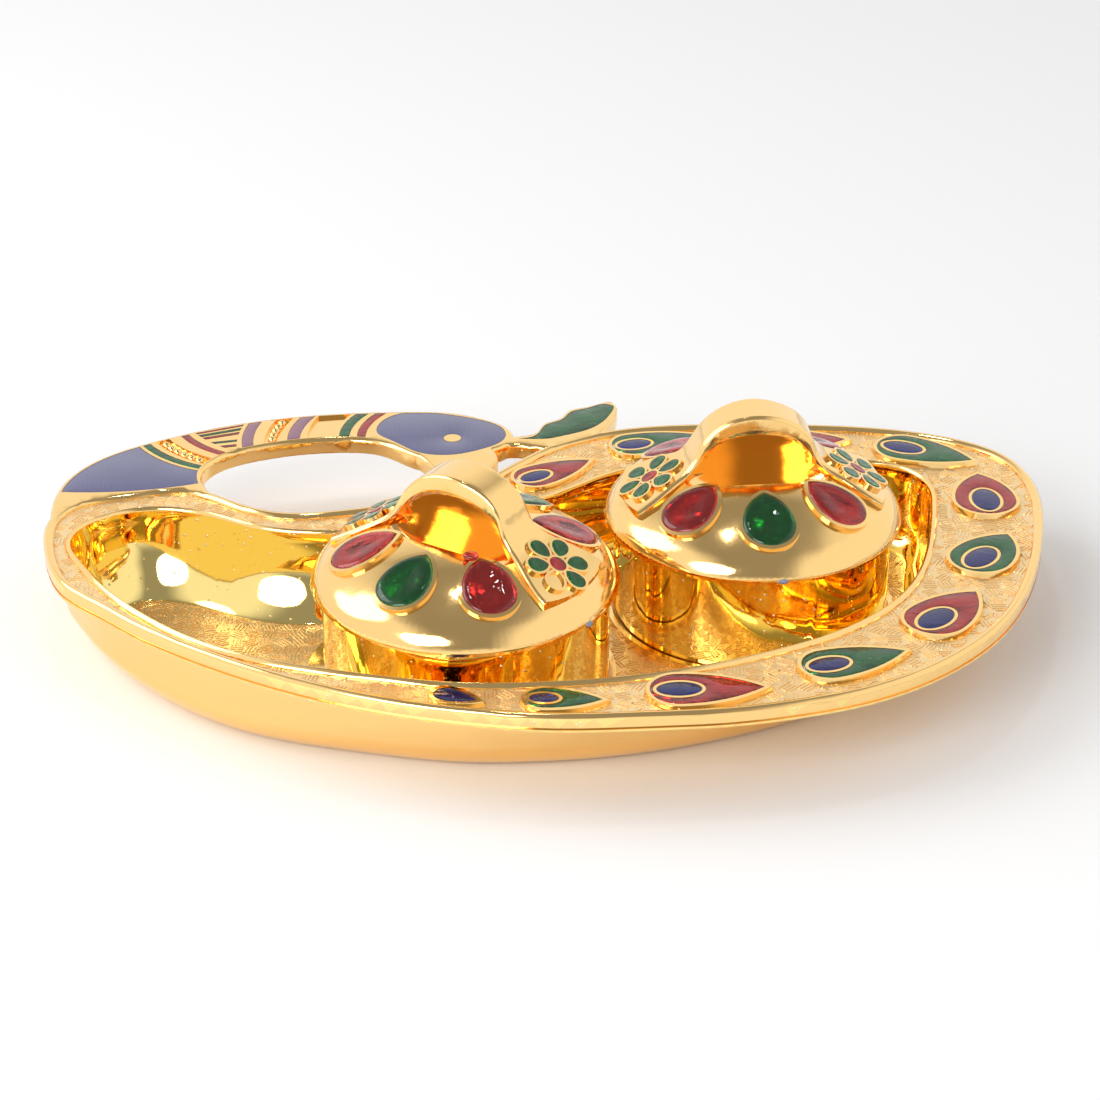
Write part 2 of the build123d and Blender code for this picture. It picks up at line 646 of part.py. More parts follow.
if __name__ == "__main__":
    os.makedirs("parts", exist_ok=True)
    for node, solid in assembly().items():
        export_step(solid, f"parts/{node}.step")
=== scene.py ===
import json
import math
import random

import bpy
from bpy.props import FloatProperty, FloatVectorProperty, IntProperty, PointerProperty
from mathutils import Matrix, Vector

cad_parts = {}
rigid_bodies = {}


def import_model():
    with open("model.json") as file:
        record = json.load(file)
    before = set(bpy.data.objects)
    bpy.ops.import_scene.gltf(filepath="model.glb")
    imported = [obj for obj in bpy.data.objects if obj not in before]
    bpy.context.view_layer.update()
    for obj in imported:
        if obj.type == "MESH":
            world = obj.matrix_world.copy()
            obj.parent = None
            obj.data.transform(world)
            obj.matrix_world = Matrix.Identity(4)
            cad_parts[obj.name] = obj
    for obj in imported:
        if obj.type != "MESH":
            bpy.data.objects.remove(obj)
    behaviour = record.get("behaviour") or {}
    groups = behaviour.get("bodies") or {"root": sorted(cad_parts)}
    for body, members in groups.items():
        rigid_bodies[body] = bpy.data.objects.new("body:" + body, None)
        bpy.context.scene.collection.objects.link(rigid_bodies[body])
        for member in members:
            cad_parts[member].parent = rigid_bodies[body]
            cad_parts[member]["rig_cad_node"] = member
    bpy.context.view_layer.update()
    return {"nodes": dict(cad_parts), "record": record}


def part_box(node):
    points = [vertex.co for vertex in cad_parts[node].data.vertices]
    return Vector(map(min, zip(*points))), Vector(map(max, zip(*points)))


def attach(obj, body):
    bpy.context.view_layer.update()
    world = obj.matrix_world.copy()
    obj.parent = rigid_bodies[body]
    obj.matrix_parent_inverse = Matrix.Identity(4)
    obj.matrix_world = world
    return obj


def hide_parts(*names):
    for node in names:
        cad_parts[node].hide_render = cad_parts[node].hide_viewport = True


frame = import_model()

bl_info = {
    "name": "Peacock kumkum box",
    "version": (1, 0, 0),
    "blender": (4, 5, 0),
    "location": "View3D > Sidebar > Kumkum box",
    "description": "Dresses the plated tray, its cups, lids and enamel",
    "category": "Object",
}

MM = 0.001

# Heights of the flat levels, in metres
FLOOR_LEVEL = 1.8 * MM
FLANGE_LEVEL = 14.2 * MM
LEVEL_SLACK = 0.05 * MM
# Upward parts of the normals of level faces and of the recess's sloping walls
LEVEL_FACING = 0.99
WALL_FACING_LEAST, WALL_FACING_MOST = 0.01, 0.995

# Angles up to which edges are shaded smooth, and the distance within which a copy's corners merge
SMOOTH_ANGLE = math.radians(28)
BEAD_ANGLE = math.radians(50)
MERGE_DISTANCE = 0.002 * MM


def linear(text):
    """Linear RGBA of an sRGB hex colour."""
    parts = [int(text[place:place + 2], 16) / 255 for place in (1, 3, 5)]
    return tuple(p / 12.92 if p <= 0.04045 else ((p + 0.055) / 1.055) ** 2.4 for p in parts) + (1.0,)


class KumkumColours(bpy.types.PropertyGroup):
    """Colours of the plating and the enamels."""

    gold: FloatVectorProperty(
        name="Gold", description="Colour of the plated skin seen square on",
        subtype="COLOR", size=4, min=0, max=1, default=linear("#fdd38a"))
    deep_gold: FloatVectorProperty(
        name="Deep gold", description="Lacquered gold of the walls that reflect each other",
        subtype="COLOR", size=4, min=0, max=1, default=linear("#fbe08e"))
    pale_gold: FloatVectorProperty(
        name="Pale gold", description="Colour of the hatched skin of the flange and the floor",
        subtype="COLOR", size=4, min=0, max=1, default=linear("#f7d79f"))
    red: FloatVectorProperty(
        name="Red enamel", description="Clear red resin over gold",
        subtype="COLOR", size=4, min=0, max=1, default=linear("#f0564f"))
    green: FloatVectorProperty(
        name="Green enamel", description="Clear green resin over gold",
        subtype="COLOR", size=4, min=0, max=1, default=linear("#35b060"))
    blue: FloatVectorProperty(
        name="Blue enamel", description="Deep blue resin of the feathers' eyes",
        subtype="COLOR", size=4, min=0, max=1, default=linear("#3a40c4"))
    slate: FloatVectorProperty(
        name="Slate blue enamel", description="Pearly blue resin of the head and the neck's foot",
        subtype="COLOR", size=4, min=0, max=1, default=linear("#5c5c82"))
    violet: FloatVectorProperty(
        name="Violet enamel", description="Pearly violet resin of the neck's bands",
        subtype="COLOR", size=4, min=0, max=1, default=linear("#8a5a6e"))


class KumkumSizes(bpy.types.PropertyGroup):
    """Sizes of the dressing."""

    stroke_length: FloatProperty(
        name="Stroke length", description="Length of a raised stroke of the hatching",
        subtype="DISTANCE", unit="LENGTH", default=2.2 * MM, min=0.0)
    stroke_width: FloatProperty(
        name="Stroke width", description="Width of a raised stroke at its foot",
        subtype="DISTANCE", unit="LENGTH", default=0.3 * MM, min=0.0)
    stroke_rise: FloatProperty(
        name="Stroke rise", description="Height of a raised stroke above the ground",
        subtype="DISTANCE", unit="LENGTH", default=0.14 * MM, min=0.0)
    stroke_pitch: FloatProperty(
        name="Stroke pitch", description="Distance from one stroke of a patch to the next",
        subtype="DISTANCE", unit="LENGTH", default=0.55 * MM, min=0.0)
    strokes_in_patch: IntProperty(
        name="Strokes in a patch", description="Parallel strokes that share one direction",
        default=4, min=1)
    bowl_reach: FloatProperty(
        name="Bowl reach", description="Extra reach of the bend at the empty round end of the recess",
        subtype="DISTANCE", unit="LENGTH", default=2.6 * MM, min=0.0)
    enamel_slack: FloatProperty(
        name="Enamel slack", description="Clearance between a poured enamel and its cell",
        subtype="DISTANCE", unit="LENGTH", default=0.012 * MM, min=0.0)


def settings():
    return bpy.context.scene.kumkum_colours, bpy.context.scene.kumkum_sizes


def node(tree, kind, values=None, links=None, **attributes):
    """Adds a shader node with its attributes, input values and links."""
    made = tree.nodes.new("ShaderNode" + kind)
    for key, value in attributes.items():
        setattr(made, key, value)
    for key, value in (values or {}).items():
        made.inputs[key].default_value = value
    for key, source in (links or {}).items():
        tree.links.new(source, made.inputs[key])
    return made


def new_material(name):
    material = bpy.data.materials.new(name)
    material.use_nodes = True
    tree = material.node_tree
    tree.nodes.clear()
    shader = node(tree, "BsdfPrincipled")
    node(tree, "OutputMaterial", links={"Surface": shader.outputs["BSDF"]})
    return material, tree, shader


def object_mm(tree):
    """Object coordinates in millimetres."""
    place = node(tree, "TexCoord")
    return node(tree, "VectorMath", {1: (1000.0, 1000.0, 1000.0)}, {0: place.outputs["Object"]},
                operation="MULTIPLY").outputs["Vector"]


# Sizes of the patterns in millimetres, and depths of the reliefs in metres
WAVE_WIDTH = 25 / 3
WAVE_DEPTH = 2.0 * MM
SKIN_GRAIN = 5 / 11
SKIN_GRAIN_DEPTH = 0.1 * MM


def bright_gold():
    # Vacuum-metallised moulded ABS under clear lacquer: mirror bright, with the slow waves of
    # a moulded skin and fine grain that breaks the reflections up
    colours, _ = settings()
    material, tree, shader = new_material("bright_plated_gold")
    spot = object_mm(tree)
    waves = node(tree, "TexNoise", {"Scale": 1 / WAVE_WIDTH, "Detail": 1.0}, {"Vector": spot})
    grain = node(tree, "TexNoise", {"Scale": 1 / SKIN_GRAIN, "Detail": 2.0}, {"Vector": spot})
    shine = node(tree, "MapRange", {"To Min": 0.06, "To Max": 0.14}, {"Value": grain.outputs["Fac"]})
    slow = node(tree, "Bump", {"Strength": 0.12, "Distance": WAVE_DEPTH}, {"Height": waves.outputs["Fac"]})
    fine = node(tree, "Bump", {"Strength": 0.04, "Distance": SKIN_GRAIN_DEPTH},
                {"Height": grain.outputs["Fac"], "Normal": slow.outputs["Normal"]})
    shader.inputs["Base Color"].default_value = colours.gold
    shader.inputs["Metallic"].default_value = 1.0
    tree.links.new(shine.outputs["Result"], shader.inputs["Roughness"])
    tree.links.new(fine.outputs["Normal"], shader.inputs["Normal"])
    return material


STREAK_WIDTH = 2.6
STREAK_LENGTH = 40.0
STREAK_DEPTH = 0.7 * MM
# Strengths of the streaks on the cups and on the recess walls
CUP_PULL, WALL_PULL = 0.1, 0.02
DUST_SPACING = 1.5
DUST_DEPTH = 0.15 * MM


def streaked_gold(name, pull):
    # The same metallised skin on drafted walls that were drawn from the mould: upright streaks
    # pull the reflections into bars, and specks of dust under the lacquer show as bright points
    colours, _ = settings()
    material, tree, shader = new_material(name)
    spot = object_mm(tree)
    tall = node(tree, "Mapping", {"Scale": (1 / STREAK_WIDTH, 1 / STREAK_WIDTH, 1 / STREAK_LENGTH)},
                {"Vector": spot})
    streaks = node(tree, "TexNoise", {"Scale": 1.0, "Detail": 1.5}, {"Vector": tall.outputs["Vector"]})
    drawn = node(tree, "Bump", {"Strength": pull, "Distance": STREAK_DEPTH},
                 {"Height": streaks.outputs["Fac"]})
    dust = node(tree, "TexVoronoi", {"Scale": 1 / DUST_SPACING}, {"Vector": spot})
    speck = node(tree, "MapRange", {"From Min": 0.06, "From Max": 0.13, "To Min": 1.0, "To Max": 0.0},
                 {"Value": dust.outputs["Distance"]})
    pitted = node(tree, "Bump", {"Strength": 0.8, "Distance": DUST_DEPTH},
                  {"Height": speck.outputs["Result"], "Normal": drawn.outputs["Normal"]})
    shine = node(tree, "MapRange", {"To Min": 0.05, "To Max": 0.4}, {"Value": speck.outputs["Result"]})
    bare = node(tree, "MapRange", {"To Min": 1.0, "To Max": 0.0}, {"Value": speck.outputs["Result"]})
    tone = node(tree, "Mix", {"A": colours.deep_gold, "B": linear("#fff6e0")},
                {"Factor": speck.outputs["Result"]}, data_type="RGBA")
    tree.links.new(tone.outputs[2], shader.inputs["Base Color"])
    tree.links.new(bare.outputs["Result"], shader.inputs["Metallic"])
    tree.links.new(shine.outputs["Result"], shader.inputs["Roughness"])
    tree.links.new(pitted.outputs["Normal"], shader.inputs["Normal"])
    return material


GROUND_GRAIN = 0.5
GROUND_GRAIN_DEPTH = 0.2 * MM
GROUND_PATCH = 5.0


def hatched_gold():
    # The same metallised skin over a tooled ground under a thicker, milky lacquer: satin, a little
    # uneven, so that the ground stays pale from every side and the raised strokes stand out on it
    colours, _ = settings()
    material, tree, shader = new_material("hatched_plated_gold")
    spot = object_mm(tree)
    grain = node(tree, "TexNoise", {"Scale": 1 / GROUND_GRAIN, "Detail": 2.0}, {"Vector": spot})
    patch = node(tree, "TexNoise", {"Scale": 1 / GROUND_PATCH, "Detail": 1.0}, {"Vector": spot})
    bump = node(tree, "Bump", {"Strength": 0.5, "Distance": GROUND_GRAIN_DEPTH},
                {"Height": grain.outputs["Fac"]})
    tone = node(tree, "MapRange", {"To Min": 0.22, "To Max": 0.34}, {"Value": patch.outputs["Fac"]})
    shader.inputs["Base Color"].default_value = colours.pale_gold
    shader.inputs["Metallic"].default_value = 0.7
    tree.links.new(tone.outputs["Result"], shader.inputs["Roughness"])
    tree.links.new(bump.outputs["Normal"], shader.inputs["Normal"])
    return material


BUBBLE_SPACING = 1.7
SWIRL_WIDTH = 2.4
SWIRL_DEPTH = 0.4 * MM


def shade_of(colour, share, lift=0.0):
    """A darker or lighter shade of a colour."""
    return tuple(min(1.0, value * share + lift) for value in colour[:3]) + (1.0,)


def clear_enamel(name, colour, depth):
    # Clear tinted epoxy resin poured into plated cells: the gold below shines through the colour,
    # the top is wet and smooth, swirls make the colour deeper in places, and small air bubbles get painted
    # highlights: lighter spots in the colour
    material, tree, shader = new_material(name)
    spot = object_mm(tree)
    swirl = node(tree, "TexNoise", {"Scale": 1 / SWIRL_WIDTH, "Detail": 2.0, "Distortion": 1.0},
                 {"Vector": spot})
    bubbles = node(tree, "TexVoronoi", {"Scale": 1 / BUBBLE_SPACING}, {"Vector": spot})
    # Places of the small air bubbles, where a lighter colour is painted in as their glints
    bubble_glint_mask = node(tree, "MapRange", {"From Min": 0.08, "From Max": 0.16, "To Min": 1.0, "To Max": 0.0},
                {"Value": bubbles.outputs["Distance"]})
    mix = node(tree, "Mix", {"A": shade_of(colour, depth), "B": colour}, {"Factor": swirl.outputs["Fac"]},
               data_type="RGBA")
    # Painted highlight: a lighter shade of the colour at each bubble stands for its glint
    painted_bubble_glints = node(tree, "Mix", {"B": shade_of(colour, 1.5, 0.15)},
                 {"Factor": bubble_glint_mask.outputs["Result"], "A": mix.outputs[2]}, data_type="RGBA")
    tree.links.new(painted_bubble_glints.outputs[2], shader.inputs["Base Color"])
    bump = node(tree, "Bump", {"Strength": 0.25, "Distance": SWIRL_DEPTH},
                {"Height": swirl.outputs["Fac"]})
    tree.links.new(bump.outputs["Normal"], shader.inputs["Normal"])
    shader.inputs["Transmission Weight"].default_value = 0.92
    shader.inputs["IOR"].default_value = 1.52
    shader.inputs["Roughness"].default_value = 0.04
    return material


FLAKE_SIZE = 0.3
CLOUD_WIDTH = 25 / 3


def pearly_enamel(name, colour):
    # Epoxy resin with mica flakes: a satin sheen with fine glitter under a smooth top
    material, tree, shader = new_material(name)
    spot = object_mm(tree)
    flakes = node(tree, "TexNoise", {"Scale": 1 / FLAKE_SIZE, "Detail": 3.0}, {"Vector": spot})
    cloud = node(tree, "TexNoise", {"Scale": 1 / CLOUD_WIDTH, "Detail": 1.0}, {"Vector": spot})
    grain = node(tree, "Mix", {"A": shade_of(colour, 0.35), "B": shade_of(colour, 1.8, 0.02)},
                 {"Factor": flakes.outputs["Fac"]}, data_type="RGBA")
    even = node(tree, "MapRange", {"To Max": 0.5}, {"Value": cloud.outputs["Fac"]})
    mix = node(tree, "Mix", {"B": colour}, {"Factor": even.outputs["Result"], "A": grain.outputs[2]},
               data_type="RGBA")
    tree.links.new(mix.outputs[2], shader.inputs["Base Color"])
    shader.inputs["Metallic"].default_value = 0.4
    shader.inputs["Roughness"].default_value = 0.4
    shader.inputs["Coat Weight"].default_value = 0.6
    shader.inputs["Coat Roughness"].default_value = 0.1
    return material


def cut_plastic():
    # Bare grey ABS where a gate was cut off after plating: dull and colder than the gold round it
    material, _, shader = new_material("cut_gate_plastic")
    shader.inputs["Base Color"].default_value = linear("#8b90a2")
    shader.inputs["Roughness"].default_value = 0.35
    return material


def white_paper():
    # Matt white paper under the object: it takes the shadow softly and shows no shine
    material, _, shader = new_material("white_paper_sweep")
    shader.inputs["Base Color"].default_value = linear("#f6f6f6")
    shader.inputs["Roughness"].default_value = 0.9
    return material


def finish_named(name):
    """The material of that name, made once."""
    found = bpy.data.materials.get(name)
    if found:
        return found
    colours, _ = settings()
    makers = {
        "bright_plated_gold": bright_gold,
        "streaked_plated_gold": lambda: streaked_gold(name, CUP_PULL),
        "dusty_plated_gold": lambda: streaked_gold(name, WALL_PULL),
        "hatched_plated_gold": hatched_gold,
        "clear_red_enamel": lambda: clear_enamel(name, colours.red, 0.45),
        "clear_green_enamel": lambda: clear_enamel(name, colours.green, 0.4),
        "clear_blue_enamel": lambda: clear_enamel(name, colours.blue, 0.6),
        "pearly_slate_enamel": lambda: pearly_enamel(name, colours.slate),
        "pearly_violet_enamel": lambda: pearly_enamel(name, colours.violet),
        "cut_gate_plastic": cut_plastic,
        "white_paper_sweep": white_paper,
    }
    return makers[name]()


SLOT_FINISHES = {
    "gold_plating": "bright_plated_gold",
    "red_enamel": "clear_red_enamel",
    "green_enamel": "clear_green_enamel",
    "blue_enamel": "clear_blue_enamel",
    "slate_blue_enamel": "pearly_slate_enamel",
    "violet_enamel": "pearly_violet_enamel",
}
NODE_SLOTS = {part["node"]: part["material_slot"] for part in frame["record"]["subparts"]}
NODE_BODIES = {member: body for body, members in frame["record"]["behaviour"]["bodies"].items()
               for member in members}


def deselect():
    if bpy.context.mode != "OBJECT":
        bpy.ops.object.mode_set(mode="OBJECT")
    bpy.ops.object.select_all(action="DESELECT")


def copy_of(name):
    """A merged copy of a CAD node, selected and active."""
    deselect()
    source = frame["nodes"][name]
    source.select_set(True)
    bpy.context.view_layer.objects.active = source
    bpy.ops.object.duplicate()
    piece = bpy.context.active_object
    bpy.ops.object.parent_clear(type="CLEAR_KEEP_TRANSFORM")
    del piece["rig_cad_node"]
    piece.name = name + "_piece"
    piece.data.materials.clear()
    if piece.data.has_custom_normals:
        bpy.ops.mesh.customdata_custom_splitnormals_clear()
    bpy.ops.object.mode_set(mode="EDIT")
    bpy.ops.mesh.select_all(action="SELECT")
    bpy.ops.mesh.remove_doubles(threshold=MERGE_DISTANCE)
    bpy.ops.object.mode_set(mode="OBJECT")
    return piece


def settle(piece, name, finish=None):
    """Gives a piece its finish, the given one or the one for its node's slot, puts it in its body and hides
    the node that it stands for.
    """
    slot = NODE_SLOTS[name]
    if not piece.data.materials:
        piece.data.materials.append(finish_named(finish or SLOT_FINISHES[slot]))
    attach(piece, NODE_BODIES[name])
    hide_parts(name)


def select_only(piece):
    deselect()
    piece.select_set(True)
    bpy.context.view_layer.objects.active = piece


def apply_modifier(piece, kind, **values):
    """Adds a modifier to the piece, sets it and applies it."""
    select_only(piece)
    modifier = piece.modifiers.new(kind.lower(), kind)
    for key, value in values.items():
        setattr(modifier, key, value)
    bpy.ops.object.modifier_apply(modifier=modifier.name)


def smooth(piece, angle=SMOOTH_ANGLE):
    select_only(piece)
    bpy.ops.object.shade_smooth_by_angle(angle=angle)


def soften(piece):
    """Rounds narrow chamfers to the eye and keeps the flat faces beside them flat."""
    smooth(piece, BEAD_ANGLE)
    apply_modifier(piece, "WEIGHTED_NORMAL", weight=60, keep_sharp=True)


def finish_faces(piece, finish, chosen):
    """Gives the faces that the test takes a finish of their own."""
    select_only(piece)
    piece.data.materials.append(finish_named(finish))
    select_faces(piece, chosen)
    piece.active_material_index = len(piece.data.materials) - 1
    bpy.ops.object.material_slot_assign()
    bpy.ops.object.mode_set(mode="OBJECT")


def select_faces(piece, chosen):
    """Selects the faces that the test takes, in edit mode."""
    bpy.ops.object.mode_set(mode="EDIT")
    bpy.ops.mesh.select_all(action="DESELECT")
    bpy.ops.mesh.select_mode(type="FACE")
    bpy.ops.object.mode_set(mode="OBJECT")
    for face in piece.data.polygons:
        face.select = chosen(face)
    bpy.ops.object.mode_set(mode="EDIT")


def on_level(face, level):
    return face.normal.z > LEVEL_FACING and abs(face.center.z - level) < LEVEL_SLACK


def on_ground(face):
    return on_level(face, FLANGE_LEVEL) or on_level(face, FLOOR_LEVEL)


def on_recess_wall(face):
    sloping = WALL_FACING_LEAST < face.normal.z < WALL_FACING_MOST
    return sloping and face.center.z < FLANGE_LEVEL - LEVEL_SLACK


# Where the wider bend begins: its height, where along the length it starts and is full, and its curve
BOWL_TOP = 12.8 * MM
BOWL_START, BOWL_FULL = -26.0 * MM, -38.0 * MM
BOWL_TURN = 1.6


def broaden_bowl(piece):
    """Widens the bend from the wall into the floor at the empty round end."""
    _, sizes = settings()
    inward = {}
    for face in piece.data.polygons:
        if on_recess_wall(face):
            for index in face.vertices:
                inward[index] = inward.get(index, Vector()) + face.normal
    for index, way in inward.items():
        spot = piece.data.vertices[index].co
        share = min(max((spot.x - BOWL_START) / (BOWL_FULL - BOWL_START), 0.0), 1.0)
        depth = min(max((BOWL_TOP - spot.z) / (BOWL_TOP - FLOOR_LEVEL), 0.0), 1.0)
        eased = share * share * (3 - 2 * share)
        way.z = 0.0
        spot += way.normalized() * sizes.bowl_reach * eased * depth ** BOWL_TURN


class KUMKUM_OT_tray(bpy.types.Operator):
    """Dresses the tray: bright rims, dusty recess walls, hatched flange and floor"""

    bl_idname = "kumkum.tray"
    bl_label = "Tray"

    def execute(self, context):
        piece = copy_of("tray")
        piece.data.materials.append(finish_named("bright_plated_gold"))
        finish_faces(piece, "hatched_plated_gold", on_ground)
        finish_faces(piece, "dusty_plated_gold", on_recess_wall)
        broaden_bowl(piece)
        soften(piece)
        settle(piece, "tray")
        return {"FINISHED"}


# No stroke lies on the floor nearer than this to the middle of a cup
CUP_CLEARANCE = 22.4 * MM
HATCH_GRID = 2.3 * MM
HATCH_JITTER = 0.2 * MM
HATCH_TURNS = 12
HATCH_SEED = 7
STROKE_SINK = 0.05 * MM
STROKE_TOP = (0.94, 0.68, 1.0)
STROKE_STRETCH = (0.8, 1.05)
# Shares of its length that a stroke tries in turn, and places along it that have to lie on one level
SHORTER_STROKES = (1.0, 0.6, 0.35)
STROKE_PROBES = (-1.05, -0.5, 0, 0.5, 1.05)
# Height from which the tray is probed
TOOL_LEVEL = 100 * MM


def ground_under(tray, place):
    """The hatched level under a place, or None where something else is there."""
    hit, where, _, _ = tray.ray_cast((place[0], place[1], TOOL_LEVEL), (0.0, 0.0, -1.0))
    for level in (FLANGE_LEVEL, FLOOR_LEVEL):
        if hit and abs(where.z - level) < LEVEL_SLACK:
            return level
    return None


def hatch_places(tray):
    """Places of the strokes: middle, height, turn and stretch of each one."""
    _, sizes = settings()
    draw = random.Random(HATCH_SEED)
    low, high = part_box("tray")
    cups = [[sum(pair) / 2 for pair in zip(*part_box(name))] for name in ("left_cup", "right_cup")]
    places = []
    for row in range(math.ceil((high[1] - low[1]) / HATCH_GRID)):
        for column in range(math.ceil((high[0] - low[0]) / HATCH_GRID)):
            middle = Vector((low[0] + column * HATCH_GRID + draw.uniform(-HATCH_JITTER, HATCH_JITTER),
                             low[1] + row * HATCH_GRID + draw.uniform(-HATCH_JITTER, HATCH_JITTER)))
            turn = draw.randrange(HATCH_TURNS) * math.pi / HATCH_TURNS
            along = Vector((math.cos(turn), math.sin(turn)))
            across = Vector((-along.y, along.x)) * sizes.stroke_pitch
            for step in range(sizes.strokes_in_patch):
                stretch = draw.uniform(*STROKE_STRETCH)
                spot = middle + across * (step - (sizes.strokes_in_patch - 1) / 2)
                clear = all((spot - Vector(cup[:2])).length > CUP_CLEARANCE for cup in cups)
                for shorter in SHORTER_STROKES:
                    reach = along * sizes.stroke_length * stretch * shorter / 2
                    levels = {ground_under(tray, spot + reach * share) for share in STROKE_PROBES}
                    if len(levels) == 1 and None not in levels and (clear or FLANGE_LEVEL in levels):
                        places.append((spot, levels.pop(), turn, stretch * shorter))
                        break
    return places


class KUMKUM_OT_hatch(bpy.types.Operator):
    """Lays the raised strokes of the hatching on the flange and the recess floor"""

    bl_idname = "kumkum.hatch"
    bl_label = "Hatching"

    def execute(self, context):
        _, sizes = settings()
        places = hatch_places(bpy.data.objects["tray_piece"])
        deselect()
        bpy.ops.mesh.primitive_cube_add(size=1.0)
        stroke = context.active_object
        bpy.ops.object.mode_set(mode="EDIT")
        height = sizes.stroke_rise + STROKE_SINK
        bpy.ops.transform.resize(value=(sizes.stroke_length, sizes.stroke_width, height))
        select_faces(stroke, lambda face: face.normal.z > LEVEL_FACING)
        bpy.ops.transform.resize(value=STROKE_TOP)
        bpy.ops.object.mode_set(mode="OBJECT")
        strokes = [stroke]
        while len(strokes) < len(places):
            deselect()
            for each in strokes[:len(places) - len(strokes)]:
                each.select_set(True)
            bpy.ops.object.duplicate()
            strokes += context.selected_objects
        for each, (spot, level, turn, stretch) in zip(strokes, places):
            each.location = (spot.x, spot.y, level + (sizes.stroke_rise - STROKE_SINK) / 2)
            each.rotation_euler = (0.0, 0.0, turn)
            each.scale = (stretch, 1.0, 1.0)
            each.select_set(True)
        context.view_layer.objects.active = stroke
        bpy.ops.object.join()
        bpy.ops.object.transform_apply(location=True, rotation=True, scale=True)
        stroke.name = "tray_hatching"
        stroke.data.materials.append(finish_named("hatched_plated_gold"))
        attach(stroke, "tray")
        return {"FINISHED"}


class KUMKUM_OT_cups(bpy.types.Operator):
    """Dresses the cups"""

    bl_idname = "kumkum.cups"
    bl_label = "Cups"

    def execute(self, context):
        for name in ("left_cup", "right_cup"):
            piece = copy_of(name)
            smooth(piece)
            settle(piece, name, "streaked_plated_gold")
        return {"FINISHED"}


class KUMKUM_OT_lids(bpy.types.Operator):
    """Dresses the lids"""

    bl_idname = "kumkum.lids"
    bl_label = "Lids"

    def execute(self, context):
        for name in ("left_lid", "right_lid"):
            piece = copy_of(name)
            soften(piece)
            settle(piece, name)
        return {"FINISHED"}


# Crowns of the lids' enamels, from the edge inwards: scale of the top and rise of each step
DROP_CROWN = [(0.97, 0.18), (0.95, 0.15), (0.9, 0.14), (0.82, 0.12), (0.68, 0.1), (0.42, 0.06)]
PETAL_CROWN = [(0.94, 0.1), (0.88, 0.08), (0.7, 0.06), (0.4, 0.03)]
# Crowns of the tray's enamels: width and rise of each step
TRAY_CROWN = [(0.08, 0.05), (0.14, 0.04)]
# The lids' domes are balls whose middle lies below the lip
LIP_LEVEL = 17.8 * MM
LID_CENTRE_DROP = 30.5 * MM
TOP_FACING = 0.8


def top_test(name):
    """A test for the faces of a fill's open side."""
    body = NODE_BODIES[name]
    if body == "tray":
        return lambda face: face.normal.z > TOP_FACING
    low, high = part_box(body.replace("lid", "cup"))
    middle = Vector(((low[0] + high[0]) / 2, (low[1] + high[1]) / 2, LIP_LEVEL - LID_CENTRE_DROP))
    return lambda face: face.normal.dot((face.center - middle).normalized()) > TOP_FACING


def crown_lid_fill(piece, name):
    """Raises each top of a lid's fill in shrinking steps, like a drop that holds its own edge."""
    bpy.ops.mesh.dissolve_faces()
    bpy.ops.object.mode_set(mode="OBJECT")
    tops = [(face.index, face.center.copy(), face.normal.copy())
            for face in piece.data.polygons if face.select]
    steps = DROP_CROWN if "_drop_" in name else PETAL_CROWN
    for index, middle, normal in tops:
        select_faces(piece, lambda face: face.index == index)
        for share, rise in steps:
            bpy.ops.mesh.extrude_region_move()
            bpy.ops.transform.resize(value=(share, share, share), center_override=middle)
            bpy.ops.transform.translate(value=normal * rise * MM)
        bpy.ops.object.mode_set(mode="OBJECT")


def crown_tray_fill():
    for width, rise in TRAY_CROWN:
        bpy.ops.mesh.inset(thickness=width * MM, depth=rise * MM, use_even_offset=False)
    bpy.ops.object.mode_set(mode="OBJECT")


class KUMKUM_OT_enamel(bpy.types.Operator):
    """Pours the enamels: each fill gets a crowned top and sits clear of its cell's walls"""

    bl_idname = "kumkum.enamel"
    bl_label = "Enamel"

    def execute(self, context):
        _, sizes = settings()
        for name, slot in NODE_SLOTS.items():
            if slot == "gold_plating":
                continue
            piece = copy_of(name)
            apply_modifier(piece, "DISPLACE", strength=-sizes.enamel_slack, mid_level=0.0)
            select_only(piece)
            select_faces(piece, top_test(name))
            if NODE_BODIES[name] == "tray":
                crown_tray_fill()
            else:
                crown_lid_fill(piece, name)
            smooth(piece, BEAD_ANGLE)
            settle(piece, name)
        return {"FINISHED"}


# Marks of making: name, body, slot, finish, middle and half sizes in millimetres
MARKS = (
    ("left_lid_red_spill", "left_lid", "red_enamel", "clear_red_enamel",
     (-10.9, -26.6, 26.9), (1.2, 1.0, 0.6)),
    ("left_lid_gate_nub", "left_lid", "gold_plating", "cut_gate_plastic",
     (5.5, -31.0, 18.4), (0.9, 0.8, 0.55)),
    ("right_lid_gate_nub", "right_lid", "gold_plating", "cut_gate_plastic",
     (34.1, -18.6, 18.5), (0.9, 0.6, 0.45)),
)
MARK_UNEVENNESS = 0.12 * MM
MARK_SEED = 3


